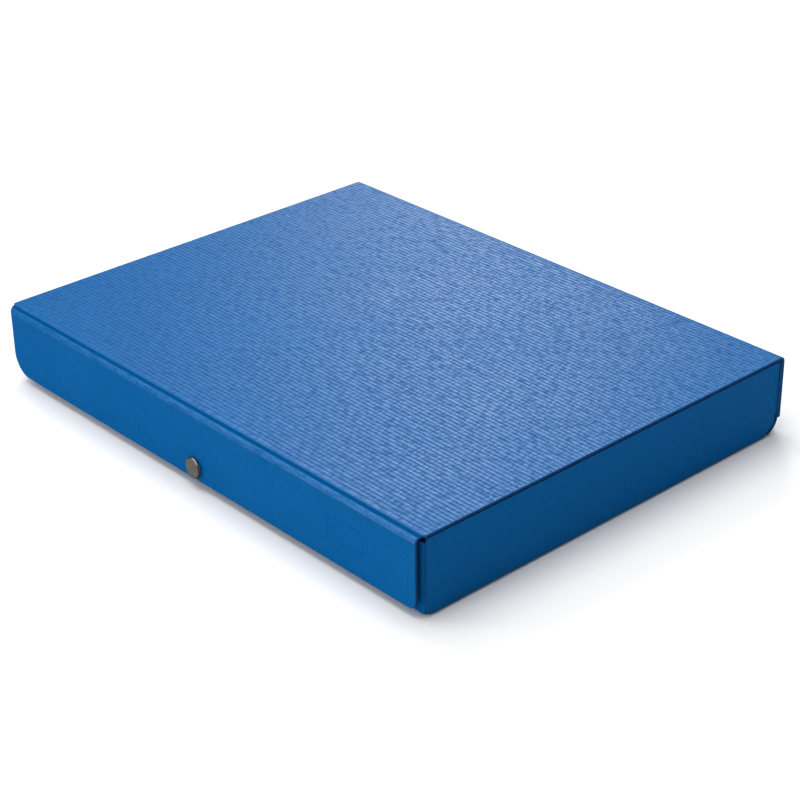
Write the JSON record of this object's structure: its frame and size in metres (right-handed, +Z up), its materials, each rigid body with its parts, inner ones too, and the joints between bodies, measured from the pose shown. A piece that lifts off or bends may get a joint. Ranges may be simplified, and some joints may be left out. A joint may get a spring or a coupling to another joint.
{
  "type": "archival box",
  "caption": "Flat archival document box of embossed blue board: folded tray, hinged spine and lid, and a front flap closed by a press stud.",
  "frame": {"origin": "centre of the base's underside, on the surface the box stands on, midway between the side walls and between the flap's face and the spine's face", "axes": "+X along the long side, +Y towards the spine (the flap and its press stud face -Y), +Z up through the lid"},
  "size_m": [0.32, 0.252, 0.043],
  "materials": {
    "blue_board": "embossed with fine ribs, semi-gloss laminate",
    "stud_metal": "dark gunmetal plating, satin face and bright rim",
    "spring_wire": "bright"
  },
  "bodies": {
    "tray": {"base_panel": "blue_board", "front_base_crease": "blue_board", "front_wall": "blue_board", "left_base_crease": "blue_board", "left_wall": "blue_board", "right_base_crease": "blue_board", "right_wall": "blue_board", "front_left_corner_crease": "blue_board", "front_right_corner_crease": "blue_board", "front_left_tab": "blue_board", "front_right_tab": "blue_board", "back_left_corner_crease": "blue_board", "back_right_corner_crease": "blue_board", "back_left_tab": "blue_board", "back_right_tab": "blue_board", "base_spine_crease": "blue_board", "stud_nub": "stud_metal", "stud_eyelet": "stud_metal"},
    "spine": {"spine_panel": "blue_board", "spine_lid_crease": "blue_board"},
    "lid": {"lid_panel": "blue_board", "lid_flap_crease": "blue_board"},
    "flap": {"flap_panel": "blue_board", "stud_cap": "stud_metal", "stud_socket": "stud_metal", "stud_spring": "spring_wire"}
  },
  "joints": [
    {"name": "spine_hinge", "type": "hinge", "parent": "tray", "child": "spine", "pos_m": [0, 0.12279, 0.00221], "axis": [-1, 0, 0], "range_deg": [0, 90], "deforming": ["base_spine_crease", "stud_socket", "stud_spring"]},
    {"name": "lid_hinge", "type": "hinge", "parent": "spine", "child": "lid", "pos_m": [0, 0.12387, 0.04186], "axis": [-1, 0, 0], "range_deg": [0, 90], "deforming": ["spine_lid_crease"]},
    {"name": "flap_hinge", "type": "hinge", "parent": "lid", "child": "flap", "pos_m": [0, -0.12376, 0.04176], "axis": [-1, 0, 0], "range_deg": [0, 90], "deforming": ["lid_flap_crease"]}
  ]
}
